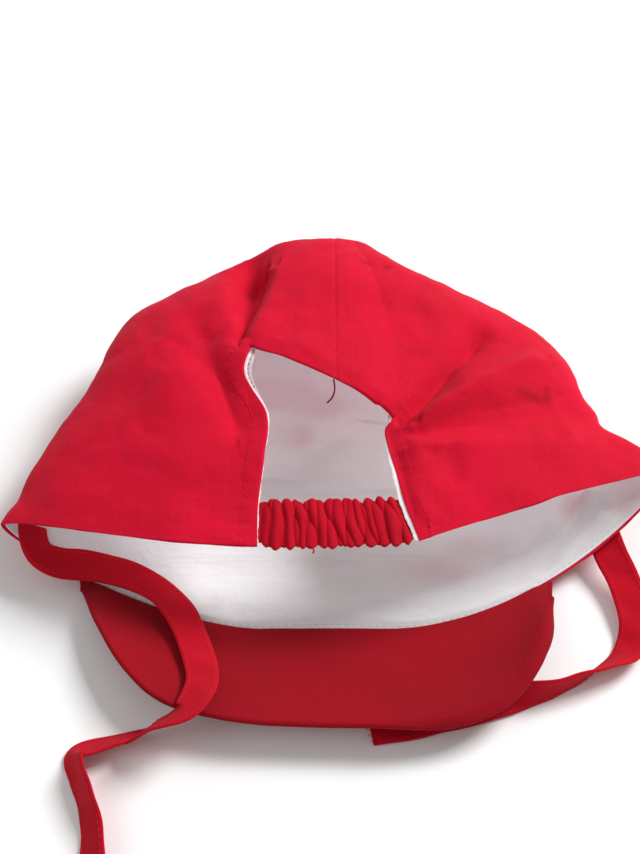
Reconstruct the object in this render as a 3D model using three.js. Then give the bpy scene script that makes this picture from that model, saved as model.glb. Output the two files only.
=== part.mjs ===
// A soft cotton jockey cap, laid down on its front with the back of the crown facing up.
// Millimetres, +Z up, +X to the right of somebody who looks into the mouth from the peak's side,
// +Y from the mouth to the top of the crown. The tables measure y from the middle of the front rim.
import * as THREE from "three";

// Driving dimensions
const CROWN_WALL = 1.0;          // red shell cloth with its seam allowances
const LINING_WALL = 0.9;         // white lining cloth
const SEWN_GAP = 0.3;            // clearance between pieces that are sewn together
const LINING_GAP = 0.4;          // clearance between the shell and the lining
const PEAK_SETBACK = 0.95;       // of the peak's face from the rim, so that its slanted end stays clear
const LINING_SHOWS = 1.2;        // how far the lining peeks out beside the back opening
const PEAK_THICKNESS = 2.4;      // two layers of cloth over a stiff core
const BAND_THICKNESS = 2.4;      // gathered casing with elastic in it
const BAND_TOP_LEFT = 0.145;     // its upper edge, as a share of the way to the crown's far end
const BAND_TOP_RIGHT = 0.172;
const BAND_SUNK = 1.2;           // its middle lies this far below the crown's outer face
const BAND_ROWS = 4;
const BAND_PLEATS = 11;
const PLEAT_DEPTH = 1.1;
const PLEAT_WANDER = 0.9;        // unevenness of the pleats, in radians of their wave
const RUFFLE = 0.7;              // in-plane waviness of the band's two long edges
const TIE_WIDTH = 11.5;
const TIE_THICKNESS = 1.2;
const FLOOR_GAP = 0.15;          // of the ties above the floor that the crown rests on
const LANDING = 2;               // softens the bend where a tie comes down on the floor
const REST_Y = 70;               // the origin lies in the flattened underside, this far behind the rim

// Mesh density
const OPENING_RINGS = 11;
const TOP_RINGS = 10;
const TOP_CROWDING = 0.9;
const SIDE_LANES = 11;
const UNDER_LANES = 7;
const FLOOR_LANES = 4;
const MIDDLE_LANES = 4;           // an even number, as the one above: the seams run along a middle lane
const TIE_STEPS = 38;

// Form of the crown
const OPENING_TOP = 0.6;         // the back opening's upper edge, as a share of the way to the far end
const OPENING_WIDTH = 58;
const ARCH = 3;                  // rise of the cloth between the opening's two guide lines
const ARCH_END = 0.17;           // stretch before the far end in which that rise fades
const LEFT_BEND = 1.8;           // how quickly the rings curve away from a side fold, in the back
const RIGHT_BEND = 1.0;
const LEFT_UNDER_BEND = 1.6;     // and on the underside
const RIGHT_UNDER_BEND = 1.8;
const CREASE = 0.4;              // added to the left profile's power at the rim, where the corner is creased
const CREASE_END = 0.25;         // how far from the rim the crease reaches, as a share of the way
const FOLD_CRISPNESS = 1.4;      // 2 gives rounded folds, and less gives them a crease
const FOLD_END = 0.8;            // reach of a fold past its line's ends, as a share of its reach sideways
const FOLDS_FADE = 0.12;         // stretch before the far end in which the folds fade

// Rings of the crown, from the rim (t = 0) to the far end (t = 1). Each row names a point on six guide
// lines: the side folds, the opening's two sides, and the two limits of the part that lies flat.
const RINGS = [
  {
    t: 0.0, left: [-127, 37, 17], right: [134, 51, 32],
    openLeft: [-26, 10.5, 40], openRight: [34.5, 11.5, 42],
    floorLeft: [-26, -1.5, 0], floorRight: [26, -1.5, 0],
  },
  {
    t: 0.14, left: [-118.5, 56, 20], right: [127, 60.5, 31.5],
    openLeft: [-25.8, 27.5, 44], openRight: [30, 25, 45],
    floorLeft: [-58, 18, 0], floorRight: [58, 18, 0],
  },
  {
    t: 0.28, left: [-110, 75, 22], right: [110.5, 72.5, 31],
    openLeft: [-24.2, 45, 48], openRight: [26.5, 39, 48],
    floorLeft: [-66, 38, 0], floorRight: [68, 38, 0],
  },
  {
    t: 0.41, left: [-102, 92, 23], right: [108, 83, 29.5],
    openLeft: [-23.4, 65, 51], openRight: [24, 51, 50],
    floorLeft: [-66, 56, 0], floorRight: [70, 55, 0],
  },
  {
    t: 0.51, left: [-96, 107, 24], right: [104.5, 94, 29],
    openLeft: [-32.5, 84, 54], openRight: [23.2, 59.5, 51],
    floorLeft: [-63, 73, 0], floorRight: [68, 70, 0],
  },
  {
    t: 0.6, left: [-91, 123, 25], right: [100.5, 107.5, 29],
    openLeft: [-30.5, 97.5, 55], openRight: [26.5, 65, 52],
    floorLeft: [-59, 89, 0], floorRight: [64, 85, 0],
  },
  {
    t: 0.7, left: [-80, 141, 26], right: [92.5, 124.5, 28],
    openLeft: [-27, 117, 54], openRight: [29, 90, 53],
    floorLeft: [-51, 107, 0], floorRight: [56, 104, 0],
  },
  {
    t: 0.8, left: [-58, 154, 26], right: [71.5, 140.5, 27],
    openLeft: [-21, 139, 52], openRight: [25, 117, 53],
    floorLeft: [-40, 127, 0], floorRight: [44, 125, 0],
  },
  {
    t: 0.9, left: [-34, 167, 27], right: [40, 157.5, 27],
    openLeft: [-12, 161, 49], openRight: [17, 153, 50],
    floorLeft: [-23, 149, 1], floorRight: [27, 148, 1],
  },
  {
    t: 0.96, left: [-14, 176, 27], right: [21, 174, 27],
    openLeft: [-4, 174, 41], openRight: [10, 173, 41],
    floorLeft: [-10, 166, 8], floorRight: [13, 165, 8],
  },
  {
    t: 1.0, left: [4, 181, 28], right: [4, 181, 28],
    openLeft: [4, 181, 28], openRight: [4, 181, 28],
    floorLeft: [4, 181, 28], floorRight: [4, 181, 28],
  },
];

// Main folds of the back, each along a line in plan: its height (negative is a valley) and its reach
// on the two sides of the line, at the line's start and end. Corner folds start at the opening's corner.
const FOLDS = [
  { fold: "corner valley", from: [31, 63], to: [64, 109], height: [-5.5, -6], left: [4.5, 7], right: [4, 6] },
  { fold: "corner ridge", from: [33, 60], to: [92, 103], height: [5, 6.5], left: [5, 9], right: [4, 9] },
  { fold: "corner hollow", from: [36, 56], to: [96, 76], height: [-4, -5.5], left: [6, 10], right: [5, 8] },
  { fold: "lower ridge", from: [36, 50], to: [94, 58], height: [4, 3], left: [6, 10], right: [9, 14] },
  { fold: "top pocket", from: [-33, 102], to: [-26, 142], height: [-6.5, -9], left: [4, 11.5], right: [1.4, 2.2] },
  { fold: "pocket mouth", from: [-33, 122], to: [-34, 156], height: [-1.5, -5], left: [4, 6], right: [5, 9] },
  { fold: "left valley", from: [-55, 118], to: [-34, 62], height: [-3, -2.5], left: [9, 6], right: [9, 6] },
];

// The peak, from its left end to its right end: where it meets the front rim, and its free edge
const PEAK = [
  { s: 0.0, seamX: -96, edge: [-94.5, 13.5, 5.2] },
  { s: 0.1, seamX: -83, edge: [-87, -4.5, 10.5] },
  { s: 0.2, seamX: -63, edge: [-74, -26.5, 13.5] },
  { s: 0.3, seamX: -44, edge: [-58, -41, 14] },
  { s: 0.4, seamX: -23, edge: [-33, -47.5, 13] },
  { s: 0.5, seamX: -2, edge: [-3, -49.5, 12.5] },
  { s: 0.6, seamX: 20, edge: [28, -49.5, 13] },
  { s: 0.7, seamX: 42, edge: [53, -46, 14] },
  { s: 0.8, seamX: 61, edge: [70, -35.5, 15] },
  { s: 0.9, seamX: 76, edge: [80.5, -18, 15.5] },
  { s: 1.0, seamX: 88, edge: [86.5, 6.5, 10] },
];
const PEAK_STEPS = 30;
const PEAK_DEPTH_STEPS = 4;
const PEAK_SAG = 1.6;            // how far the peak hangs below a straight line from seam to edge

// Routes of the two ties. Roll turns the ribbon about its route: 0 lies flat, 90 stands on edge. A height
// of 0 stands for a stretch that lies on the floor, however it is rolled there.
const LEFT_TIE = [
  { at: [-115, 37.2, 15.8], roll: -40 },
  { at: [-114.7, 33.5, 15.4], roll: -38 },
  { at: [-112.8, 28.3, 14.4], roll: -28 },
  { at: [-109, 23.9, 13.6], roll: -6 },
  { at: [-103, 21.4, 12.8], roll: 12 },
  { at: [-95, 20.9, 12.2], roll: 17 },
  { at: [-86, 19.7, 11.5], roll: 14 },
  { at: [-76, 16.9, 10.9], roll: 2 },
  { at: [-66.5, 12.2, 10.2], roll: -12 },
  { at: [-58, 4.5, 9.6], roll: -16 },
  { at: [-52.5, -5, 9.3], roll: -11 },
  { at: [-48, -17.5, 11], roll: -5 },
  { at: [-45.2, -29, 14.6], roll: 4 },
  { at: [-45.8, -38, 18.4], roll: 14 },
  { at: [-49.5, -46.5, 20.4], roll: 28 },
  { at: [-56.3, -48.8, 17], roll: 38 },
  { at: [-63.5, -49, 11], roll: 44 },
  { at: [-72.5, -49.8, 0], roll: 48 },
  { at: [-83.5, -52.8, 0], roll: 38 },
  { at: [-90.3, -56, 0], roll: 48 },
  { at: [-88.3, -64.5, 0], roll: 62 },
  { at: [-84.5, -74, 0], roll: 60 },
  { at: [-81.5, -84, 0], roll: 48 },
  { at: [-80.2, -96, 0], roll: 38 },
  { at: [-79.5, -112, 0], roll: 12 },
  { at: [-80, -124, 0], roll: 0 },
  { at: [-81, -135, 0], roll: 0 },
];
const RIGHT_TIE = [
  { at: [110, 36, 10.2], roll: 24 },
  { at: [111.5, 28, 9.4], roll: 22 },
  { at: [115.5, 18, 6.8], roll: 12 },
  { at: [118, 5, 5], roll: 8 },
  { at: [117, -6, 3], roll: 12 },
  { at: [113, -14, 0], roll: 30 },
  { at: [106, -19.5, 0], roll: 52 },
  { at: [96, -25, 0], roll: 76 },
  { at: [86, -29.5, 0], roll: 90 },
  { at: [77, -32, 0], roll: 106 },
  { at: [67.5, -33.5, 0], roll: 134 },
  { at: [57, -35.6, 0], roll: 162 },
  { at: [46, -38.2, 0], roll: 180 },
  { at: [33, -41.8, 0], roll: 180 },
  { at: [16.5, -45, 0], roll: 180 },
];

const RED = 0xd2132d;
const DARK_RED = 0xb80f24;
const WHITE = 0xe9e9ec;

const quarter = (u) => (u * Math.PI) / 2;
const mix = (a, b, u) => a + (b - a) * u;
const clamp = (v) => Math.min(1, Math.max(0, v));

// A smooth curve through a table's rows, read at one value of the table's running key
function along(rows, key, column, value) {
  const last = rows.length - 1;
  let i = 0;
  while (i < last - 1 && value >= rows[i + 1][key]) i += 1;
  const slope = (k, axis) => {
    const before = rows[Math.max(k - 1, 0)];
    const after = rows[Math.min(k + 1, last)];
    return ([after[column]].flat()[axis] - [before[column]].flat()[axis]) / (after[key] - before[key]);
  };
  const step = rows[i + 1][key] - rows[i][key];
  const u = clamp((value - rows[i][key]) / step);
  const start = [rows[i][column]].flat();
  const end = [rows[i + 1][column]].flat();
  return start.map((from, axis) =>
    (2 * u ** 3 - 3 * u ** 2 + 1) * from +
    (u ** 3 - 2 * u ** 2 + u) * step * slope(i, axis) +
    (3 * u ** 2 - 2 * u ** 3) * end[axis] +
    (u ** 3 - u ** 2) * step * slope(i + 1, axis));
}

// How far the folds lift the back of the crown at a point in plan
function foldLift(x, y) {
  let lift = 0;
  for (const { from, to, height, left, right } of FOLDS) {
    const line = new THREE.Vector2(to[0] - from[0], to[1] - from[1]);
    const length = line.length();
    const ahead = ((x - from[0]) * line.x + (y - from[1]) * line.y) / length ** 2;
    const aside = ((y - from[1]) * line.x - (x - from[0]) * line.y) / length;
    const share = clamp(ahead);
    const [near, far] = aside > 0 ? left : right;
    const reach = mix(near, far, share);
    const past = Math.abs(ahead - share) * length;
    const fade = Math.exp(-((Math.abs(aside) / reach) ** FOLD_CRISPNESS) - (past / (FOLD_END * reach)) ** 2);
    lift += mix(height[0], height[1], share) * fade;
  }
  return lift;
}

// Lanes run round the crown: left side fold, back, right side fold, underside. w is the way across
// a span.
function crownLanes() {
  const lanes = [];
  const evenly = (span, count, first = 0) => {
    for (let i = first; i < count; i += 1) lanes.push({ span, w: i / count });
  };
  const sliver = LINING_SHOWS / OPENING_WIDTH;
  evenly("leftBack", SIDE_LANES);
  lanes.push({ span: "middle", w: 0 }, { span: "middle", w: sliver });
  evenly("middle", MIDDLE_LANES, 1);
  lanes.push({ span: "middle", w: 1 - sliver });
  evenly("rightBack", SIDE_LANES);
  evenly("rightUnder", UNDER_LANES);
  evenly("floor", FLOOR_LANES);
  evenly("leftUnder", UNDER_LANES);
  return lanes;
}

function crownPoint(t, { span, w }) {
  const guide = (name) => new THREE.Vector3(...along(RINGS, "t", name, t));
  // From a side fold towards an inner guide line, in the manner of a quarter of an ellipse
  const curl = (fold, inner, way, bend, power) => new THREE.Vector3(
    mix(fold.x, inner.x, 1 - Math.cos(quarter(way))),
    mix(inner.y, fold.y, Math.cos(quarter(way)) ** bend),
    mix(fold.z, inner.z, Math.sin(quarter(way)) ** power),
  );
  const creased = 1 + CREASE * clamp(1 - t / CREASE_END);
  const back = {
    leftBack: () => curl(guide("left"), guide("openLeft"), w, LEFT_BEND, creased),
    middle: () => guide("openLeft").lerp(guide("openRight"), w),
    rightBack: () => curl(guide("right"), guide("openRight"), 1 - w, RIGHT_BEND, 1),
  };
  const under = {
    rightUnder: () => curl(guide("right"), guide("floorRight"), w, RIGHT_UNDER_BEND, 1),
    floor: () => guide("floorRight").lerp(guide("floorLeft"), w),
    leftUnder: () => curl(guide("left"), guide("floorLeft"), 1 - w, LEFT_UNDER_BEND, 1),
  };
  if (under[span]) {
    const point = under[span]();
    return point.setZ(Math.max(0, point.z));
  }
  const point = back[span]();
  const fromFold = { leftBack: Math.sin(quarter(w)), middle: 1, rightBack: Math.cos(quarter(w)) }[span];
  const arch = span === "middle" ? ARCH * 4 * w * (1 - w) * clamp((1 - t) / ARCH_END) : 0;
  point.z += arch + foldLift(point.x, point.y) * fromFold * clamp((1 - t) / FOLDS_FADE);
  return point;
}

// Rings are closer together where the crown curves over at its far end
function crownRings() {
  const rings = [];
  for (let i = 0; i <= OPENING_RINGS; i += 1) rings.push((OPENING_TOP * i) / OPENING_RINGS);
  for (let i = 1; i <= TOP_RINGS; i += 1) {
    rings.push(mix(OPENING_TOP, 1, Math.sin(quarter(i / TOP_RINGS)) ** TOP_CROWDING));
  }
  return rings;
}

// Unit normals of a grid of points, to the side that a ring's direction and a lane's direction make
function gridNormals(points, closed) {
  const rows = points.length;
  const columns = points[0].length;
  return points.map((row, r) => row.map((_, c) => {
    const left = closed ? (c + columns - 1) % columns : Math.max(c - 1, 0);
    const right = closed ? (c + 1) % columns : Math.min(c + 1, columns - 1);
    const across = row[right].clone().sub(row[left]);
    const onward = points[Math.min(r + 1, rows - 1)][c].clone().sub(points[Math.max(r - 1, 0)][c]);
    if (across.lengthSq() < 1e-6) return new THREE.Vector3(0, 1, 0);
    return across.cross(onward).normalize();
  }));
}

// A closed solid between two depths below a grid of points. kept says which cells have cloth.
function clothSolid(points, { closed = false, from, to, kept = () => true }) {
  const rows = points.length;
  const columns = points[0].length;
  const cellColumns = closed ? columns : columns - 1;
  const normals = gridNormals(points, closed);
  const at = (r, c, depth) => {
    const column = c % columns;
    return points[r][column].clone().addScaledVector(normals[r][column], -depth);
  };
  const wrapped = (c) => (closed ? (c + cellColumns) % cellColumns : c);
  const has = (r, c) => {
    const column = wrapped(c);
    return r >= 0 && r < rows - 1 && column >= 0 && column < cellColumns && kept(r, column);
  };
  const corners = [];
  const triangle = (...three) => {
    const apart = three.every((p, i) => p.distanceToSquared(three[(i + 1) % 3]) > 1e-8);
    if (apart) corners.push(...three);
  };
  for (let r = 0; r < rows - 1; r += 1) {
    for (let c = 0; c < cellColumns; c += 1) {
      if (!has(r, c)) continue;
      const loop = [[r, c], [r, c + 1], [r + 1, c + 1], [r + 1, c]];
      const outer = loop.map(([i, j]) => at(i, j, from));
      const inner = loop.map(([i, j]) => at(i, j, to));
      triangle(outer[0], outer[1], outer[2]);
      triangle(outer[0], outer[2], outer[3]);
      triangle(inner[0], inner[2], inner[1]);
      triangle(inner[0], inner[3], inner[2]);
      const neighbours = [[r - 1, c], [r, c + 1], [r + 1, c], [r, c - 1]];
      neighbours.forEach(([i, j], side) => {
        if (has(i, j)) return;
        const next = (side + 1) % 4;
        triangle(outer[next], outer[side], inner[side]);
        triangle(outer[next], inner[side], inner[next]);
      });
    }
  }
  return new THREE.BufferGeometry().setFromPoints(corners);
}

function named(name, geometry, color, roughness) {
  const material = new THREE.MeshStandardMaterial({ color, roughness, metalness: 0 });
  geometry.computeVertexNormals();
  const mesh = new THREE.Mesh(geometry, material);
  mesh.name = name;
  return mesh;
}

const lanes = crownLanes();
const crownGrid = crownRings().map((t) => lanes.map((lane) => crownPoint(t, lane)));
const isMiddle = (c) => lanes[c].span === "middle";
const seamIn = (span) => lanes.findIndex((lane) => lane.span === span && lane.w === 0.5);
const backSeam = seamIn("middle");
const frontSeam = seamIn("floor");

// One half of the red shell, which is open at the mouth and at the back opening. Its lanes run from one
// seam to the other, and side (-1 or 1) is the way from the seams into the half.
function crownHalf(firstSeam, lastSeam, side) {
  const count = ((lastSeam - firstSeam + lanes.length) % lanes.length) + 1;
  const columns = Array.from({ length: count }, (_, i) => (firstSeam + i) % lanes.length);
  const points = crownGrid.map((row, r) => columns.map((column, i) => {
    const point = row[column].clone();
    const atSeam = i === 0 || i === count - 1 || r === crownGrid.length - 1;
    if (atSeam) point.x += (side * SEWN_GAP) / 2;
    return point;
  }));
  const isCloth = (r, c) => r >= OPENING_RINGS || !isMiddle(columns[c]);
  return clothSolid(points, { from: 0, to: CROWN_WALL, kept: isCloth });
}

// The white lining inside it, which stands out a little past the shell along the sides of the opening
function lining() {
  const firstMiddle = lanes.findIndex((lane) => lane.span === "middle");
  const lastMiddle = lanes.findLastIndex((lane) => lane.span === "middle");
  const isCloth = (r, c) => r >= OPENING_RINGS || !isMiddle(c) || c === firstMiddle || c === lastMiddle;
  const from = CROWN_WALL + LINING_GAP;
  return clothSolid(crownGrid, { closed: true, from, to: from + LINING_WALL, kept: isCloth });
}

// The gathered elastic casing that bridges the opening at the rim
function backBand() {
  const columns = BAND_PLEATS * 4;
  const points = [];
  for (let r = 0; r <= BAND_ROWS; r += 1) {
    const up = r / BAND_ROWS;
    const left = new THREE.Vector3(...along(RINGS, "t", "openLeft", BAND_TOP_LEFT * up));
    const right = new THREE.Vector3(...along(RINGS, "t", "openRight", BAND_TOP_RIGHT * up));
    const inset = right.clone().sub(left).setLength(LINING_SHOWS + 2 * SEWN_GAP);
    left.add(inset).setZ(left.z - BAND_SUNK);
    right.sub(inset).setZ(right.z - BAND_SUNK);
    const row = [];
    for (let c = 0; c <= columns; c += 1) {
      const across = c / columns;
      const phase = across * BAND_PLEATS * 2 * Math.PI + PLEAT_WANDER * Math.sin(7 * across + 2 * up);
      const fromEnds = Math.sqrt(Math.sin(Math.PI * across));
      const point = left.clone().lerp(right, across);
      point.z += PLEAT_DEPTH * Math.sin(phase) * fromEnds;
      point.y += RUFFLE * Math.cos(phase) * (2 * up - 1) * fromEnds;
      row.push(point);
    }
    points.push(row);
  }
  return clothSolid(points, { from: -BAND_THICKNESS / 2, to: BAND_THICKNESS / 2 });
}

// The front rim's point at a given x, found along the underside lanes of the first ring
function frontRim(x) {
  const rim = RINGS[0];
  const [fold, floor, bend] = x < 0
    ? [rim.left, rim.floorLeft, LEFT_UNDER_BEND]
    : [rim.right, rim.floorRight, RIGHT_UNDER_BEND];
  const beyond = clamp((x - floor[0]) / (fold[0] - floor[0]));
  const drop = Math.sqrt(1 - beyond ** 2);
  return new THREE.Vector3(x, mix(floor[1], fold[1], beyond ** bend), mix(fold[2], floor[2], drop));
}

// The peak, a curved plate sewn to the front rim, with its underside facing up
function peak() {
  const points = [];
  for (let r = 0; r <= PEAK_DEPTH_STEPS; r += 1) {
    const out = 1 - r / PEAK_DEPTH_STEPS;
    const row = [];
    for (let c = 0; c <= PEAK_STEPS; c += 1) {
      const s = c / PEAK_STEPS;
      const [seamX] = along(PEAK, "s", "seamX", s);
      const seam = frontRim(seamX);
      seam.y -= PEAK_SETBACK;
      const point = seam.lerp(new THREE.Vector3(...along(PEAK, "s", "edge", s)), out);
      point.z -= PEAK_SAG * 4 * out * (1 - out) * Math.sin(Math.PI * s);
      row.push(point.setZ(Math.max(0, point.z)));
    }
    points.push(row);
  }
  return clothSolid(points, { from: -PEAK_THICKNESS, to: 0 });
}

// A flat tie that follows a route
function tie(route) {
  const last = route.length - 1;
  const rows = route.map((row, i) => ({ ...row, s: i / last }));
  const points = [];
  for (let i = 0; i <= TIE_STEPS; i += 1) {
    const s = i / TIE_STEPS;
    const centre = new THREE.Vector3(...along(rows, "s", "at", s));
    const ahead = new THREE.Vector3(...along(rows, "s", "at", Math.min(s + 0.01, 1)));
    const behind = new THREE.Vector3(...along(rows, "s", "at", Math.max(s - 0.01, 0)));
    const onward = ahead.sub(behind).normalize();
    const flat = new THREE.Vector3(onward.y, -onward.x, 0).normalize();
    const [roll] = along(rows, "s", "roll", s);
    const turn = THREE.MathUtils.degToRad(roll);
    const across = flat.applyAxisAngle(onward, turn);
    const lowest = (TIE_WIDTH * Math.abs(Math.sin(turn)) + TIE_THICKNESS * Math.abs(Math.cos(turn))) / 2;
    const resting = lowest + FLOOR_GAP;
    centre.z = (centre.z + resting + Math.hypot(centre.z - resting, LANDING)) / 2;
    points.push([-1, 1].map((side) => centre.clone().addScaledVector(across, (side * TIE_WIDTH) / 2)));
  }
  return clothSolid(points, { from: -TIE_THICKNESS / 2, to: TIE_THICKNESS / 2 });
}

const cap = new THREE.Group();
cap.position.y = -REST_Y;
cap.add(
  named("crown_left", crownHalf(frontSeam, backSeam, -1), RED, 0.85),
  named("crown_right", crownHalf(backSeam, frontSeam, 1), RED, 0.85),
  named("lining", lining(), WHITE, 0.9),
  named("back_band", backBand(), RED, 0.85),
  named("peak", peak(), DARK_RED, 0.85),
  named("tie_left", tie(LEFT_TIE), RED, 0.85),
  named("tie_right", tie(RIGHT_TIE), RED, 0.85),
);

export default cap;
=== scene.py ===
# A soft red cotton cap with a white lining, laid on its front with the back of the crown facing up.
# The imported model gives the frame, and this script dresses it: cloth with folds, hems, seams and
# stitches, a gathered band, a stiffened peak and two folded ties. Tables are in millimetres, with y
# measured from the middle of the front rim; the meshes are in metres in the model's own frame.
import math

import bpy
import numpy as np
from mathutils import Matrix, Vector, noise


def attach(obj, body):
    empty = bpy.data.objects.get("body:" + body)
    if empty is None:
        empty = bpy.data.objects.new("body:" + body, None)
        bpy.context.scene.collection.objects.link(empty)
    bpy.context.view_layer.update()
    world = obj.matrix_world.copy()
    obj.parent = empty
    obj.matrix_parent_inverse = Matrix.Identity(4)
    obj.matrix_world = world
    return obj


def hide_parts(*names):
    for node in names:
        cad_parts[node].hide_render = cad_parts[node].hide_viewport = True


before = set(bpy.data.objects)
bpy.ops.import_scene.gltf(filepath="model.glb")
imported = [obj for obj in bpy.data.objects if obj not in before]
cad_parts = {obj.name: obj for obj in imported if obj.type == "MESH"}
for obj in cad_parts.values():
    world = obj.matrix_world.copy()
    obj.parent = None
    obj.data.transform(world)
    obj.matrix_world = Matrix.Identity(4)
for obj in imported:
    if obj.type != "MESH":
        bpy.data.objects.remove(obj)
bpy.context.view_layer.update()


def table(columns, rows):
    """A table's rows as dictionaries, from the names of its columns."""
    return [dict(zip(columns, row)) for row in rows]


MM = 0.001
REST_Y = 70  # the origin lies this far behind the front rim
BODY = "root"

# Camera and light
CAMERA_PLACE = (-0.00231, -0.38162, 0.49164)
CAMERA_DOWN = 50  # degrees below the horizontal
FOCAL_PX = 1500  # focal length in pixels of the photograph
PHOTO_TALL_PX = 854
SENSOR_MM = 36
KEY_PLACE = (1.8, 1.05, 2.0)
KEY_SIZE = 1.1
KEY_POWER = 90
FILL_PLACE = (-0.7, -0.5, 0.8)
FILL_SIZE = 0.7
FILL_POWER = 2.0
SKY_STRENGTH = 0.37
FLOOR_SIZE = 6.0
FLOOR_BELOW = 0.0002  # keeps the floor clear of the cloth that lies on it
FLOOR_COLOUR = (0.92, 0.92, 0.92)
LIGHTS_AIM = (0.0, 0.0, 0.02)

# Cloth
SHELL_CLOTH = 0.75  # thickness of the red shell at the back opening and the rim
LINING_DEPTH = 1.35  # of the lining's outer face below the shell's
LINING_EDGE_DEPTH = 0.85  # and at the rim and the back opening, where it is sewn on
LINING_CLOTH = 0.5
TOP_HEM_EXTRA = 0.35  # more cloth in the folded edge above the back opening
TOP_SETBACK = 1.8  # of the lining from that edge
RIM_SETBACK = 0.7  # and from the rim
EDGE_BLEND = 6  # stretch over which such changes at an edge run out
SEWN_STRETCH = 7  # from an edge to where the lining hangs free
LINING_UNREST = 0.45  # soft unevenness of the lining
BACK_RIPPLE = 0.3  # share of the lining's folds that its back half has
PAINTED_GLOW_FROM = (24, 38)  # heights between which the lining's painted glow sets in
PAINTED_SHADE_FROM = (26, 34)  # heights between which the painted shade spots on the back set in
BEYOND = 99  # stands for a distance to an edge that isn't near
FRONT_STITCH = 1.6  # from the front rim to the stitches on the lining
WIDE_LIP = (0.47, 0.588)  # stretch of the left lip that is wide enough for stitches
HEM_WIDTH = 6.0  # folded cloth along the back opening's two sides
TOP_HEM_WIDTH = 16  # and along its upper edge
HEM_STEP = 0.22  # how far the folded cloth stands up
HEM_GROOVE = 0.12  # how deep a row of stitches sinks
RIM_STITCH = 2.2  # from the rim to the row of stitches beside it
SEAM_X = 4  # place of the centre seam in the back
SEAM_GROOVE = 0.2
SEAM_WIDTH = 0.8
SEAM_ALLOWANCE = 6  # width of the folded cloth under the seam's right side
UNDULATION = 0.85  # soft unevenness of the shell
FINE_UNDULATION = 0.22
CREASES = table(("size", "depth"), [(32, 2.1), (13, 0.7)])  # of the crumpled shell
CREASE_SOFTNESS = 0.04
STITCH_PITCH = 2.9
STITCH_RADIUS = 0.13
STITCH_FILL = 0.72  # share of the pitch that a stitch shows above the cloth
STITCH_ROW = 0.93  # place of the hem's stitches, as a share of the hem's width
STITCH_WANDER = 0.12  # of a stitch from its even place along the row
GROOVE_WIDTH = 0.6  # of the groove that a row of stitches pulls
PUCKER_WIDTH = 3.5  # of the band of puckers beside it
PUCKER_PITCH = 3.1  # of the small puckers along a row of stitches
PUCKER_RISE = 0.14
LOOSE_THREAD = [(3, 81.5, 52.5), (3.4, 80, 50.6), (3.3, 78, 48.6), (2.2, 76, 47.2), (0.4, 74.2, 46.4)]
LOOSE_THREAD_RADIUS = 0.36
TUBE_ASIDE = (0.31, 0.22, 0.92)  # a direction that no thread runs along

# Weave and wear of the materials
THREAD_PITCH = 0.00045  # metres, of one thread and its gap
WAVE_PER_UNIT = 0.31416  # scale at which a wave texture has one wave in each unit
MOTTLE_SIZE = 32  # uneven dye
SLUB_SIZE = 1.5  # thick threads
WRINKLE_SIZE = 7
FIBRE_SIZE = 0.35  # of a sewing thread
WRINKLE_RISE = 0.0009  # metres
THREAD_RISE = 0.00008  # metres
MIDDLE_OF_NOISE = (0.3, 0.7)  # where most of a noise's values lie
PAINTED_GLOW_STRENGTH = 0.55  # strength and colour of a painted glow, standing in for light that comes through the back of the cap
PAINTED_GLOW_COLOUR = (1.0, 0.86, 0.88, 1)
PAINTED_PINK = (0.70, 0.53, 0.57)  # painted pink on the white lining, standing in for red light through the shell and for shade
# Painted shade: darker red for small dents and creases on the back
PAINTED_SHADE_RED = (0.36, 0.0, 0.008)
# Darkest and lightest tone of each cloth and thread
SHELL_TONES = ((0.60, 0.001, 0.020), (0.74, 0.004, 0.035))
# Painted shade: the band's and ties' red is darkened for the shade in the gathers and under the crown
SHADED_TRIM_TONES = ((0.47, 0.0, 0.010), (0.58, 0.002, 0.019))
# Painted shade: the peak's red is darkened for the crown's shadow that it lies in
SHADED_PEAK_TONES = ((0.27, 0.0, 0.006), (0.34, 0.001, 0.009))
WHITE_TONES = ((0.78, 0.79, 0.80), (0.85, 0.86, 0.865))
RED_THREAD_TONES = ((0.6, 0.002, 0.018), (0.78, 0.02, 0.05))
# Painted shade: the dark thread is darkened for the loose thread in shadow; the lip's stitches use it too
SHADED_DARK_THREAD_TONES = ((0.16, 0.01, 0.03), (0.28, 0.03, 0.06))
PALE_THREAD_TONES = ((0.5, 0.45, 0.46), (0.68, 0.62, 0.63))

# The lining's edge along the back opening's two sides, at shares of the way up: how far its roll and
# the flat facing behind the roll show past the red edge
LIP_COLUMNS = ("t", "roll", "facing")
LIPS = {
    "left": table(LIP_COLUMNS, [
        (0.0, 0.55, 0.2), (0.2, 0.6, 0.2), (0.32, 0.4, 0.2), (0.42, 1.1, 1.0),
        (0.5, 1.5, 3.2), (0.56, 1.5, 3.5), (0.6, 0.9, 2.2),
    ]),
    "right": table(LIP_COLUMNS, [
        (0.0, 1.6, 0.2), (0.15, 2.1, 0.2), (0.3, 1.5, 0.2), (0.42, 0.8, 0.2),
        (0.56, 0.4, 0.2), (0.6, 1.2, 1.8),
    ]),
}
ROLL_PAINTED_PINK_SHARE = {"left": 0.5, "right": 0.15}  # how far a roll's colour is mixed towards the painted pink of light and shade
# Painted glow on a lip's roll, standing in for light through the cloth
ROLL_PAINTED_GLOW = 0.3
LIP_UNDER = 2.0  # how far a lip reaches under the shell
ROLL_HALF = 0.42  # half the thickness of the roll
FACING_HALF = 0.22
FACING_DROP = 0.5  # of the facing below the roll
LIP_STITCH = 1.85  # from the shell's edge to the stitches on the facing
LIP_PITCH = 2.3
LIP_THREAD_RADIUS = 0.14

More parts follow.
